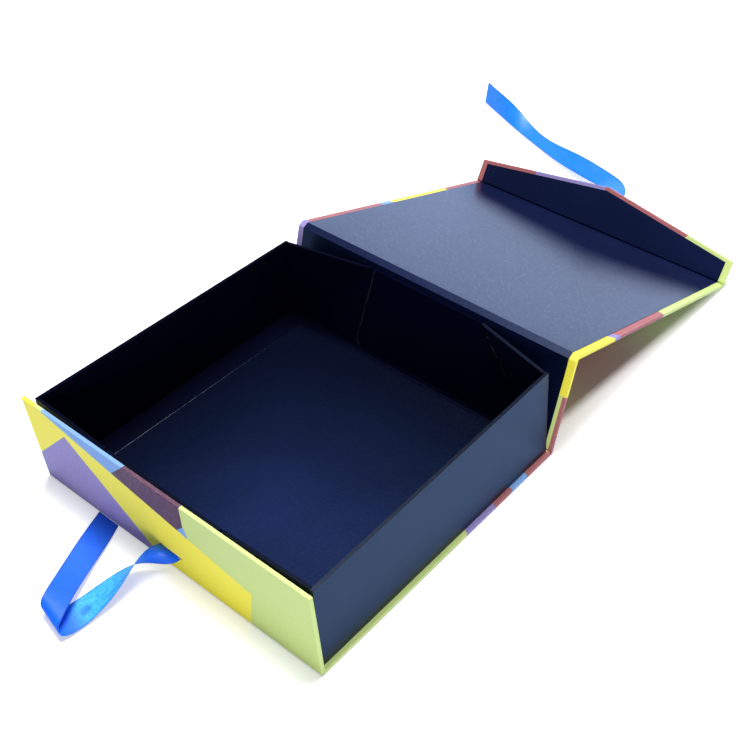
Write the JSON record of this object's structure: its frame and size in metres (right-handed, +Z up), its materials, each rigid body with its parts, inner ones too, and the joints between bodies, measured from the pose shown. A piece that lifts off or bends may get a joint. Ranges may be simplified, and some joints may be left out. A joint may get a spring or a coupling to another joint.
{
  "type": "folding gift box",
  "caption": "Open folding gift box: a printed book-style case with a hinged lid and peaked flap, a navy lined tray with creased walls, and blue satin ribbon ties.",
  "frame": {"origin": "middle of the base panel's underside, where the tray stands on the floor", "axes": "+Z up, +Y to the back over the open lid, +X to the right as seen from the front"},
  "size_m": [0.2734, 0.5753, 0.0617],
  "materials": {
    "printed_paper": "satin",
    "lining_paper": "satin",
    "tray_paper": "satin",
    "ribbon_satin": "satin"
  },
  "bodies": {
    "tray": {"base_panel": "printed_paper", "front_panel": "printed_paper", "tray_floor": "tray_paper", "tray_left_wall": "tray_paper", "tray_right_wall": "tray_paper", "tray_front_wall": "tray_paper", "front_left_gusset": "tray_paper", "front_right_gusset": "tray_paper", "back_left_gusset": "tray_paper", "back_right_gusset": "tray_paper", "front_ribbon": "ribbon_satin"},
    "spine": {"spine_panel": "printed_paper", "spine_lining": "lining_paper", "tray_back_wall": "tray_paper"},
    "lid": {"lid_panel": "printed_paper", "lid_lining": "lining_paper"},
    "flap": {"flap_panel": "printed_paper", "flap_lining": "lining_paper", "flap_ribbon": "ribbon_satin"}
  },
  "joints": [
    {"name": "spine_hinge", "type": "hinge", "parent": "tray", "child": "spine", "pos_m": [0, 0.09775, 0], "axis": [1, 0, 0], "range_deg": [0, 13.6], "deforming": ["back_left_gusset", "back_right_gusset"]},
    {"name": "lid_hinge", "type": "hinge", "parent": "spine", "child": "lid", "pos_m": [0, 0.11233, 0.06026], "axis": [1, 0, 0], "range_deg": [0, 183.74]},
    {"name": "flap_hinge", "type": "hinge", "parent": "lid", "child": "flap", "pos_m": [0, 0.30532, 0], "axis": [1, 0, 0], "range_deg": [-80, 9.7]}
  ]
}
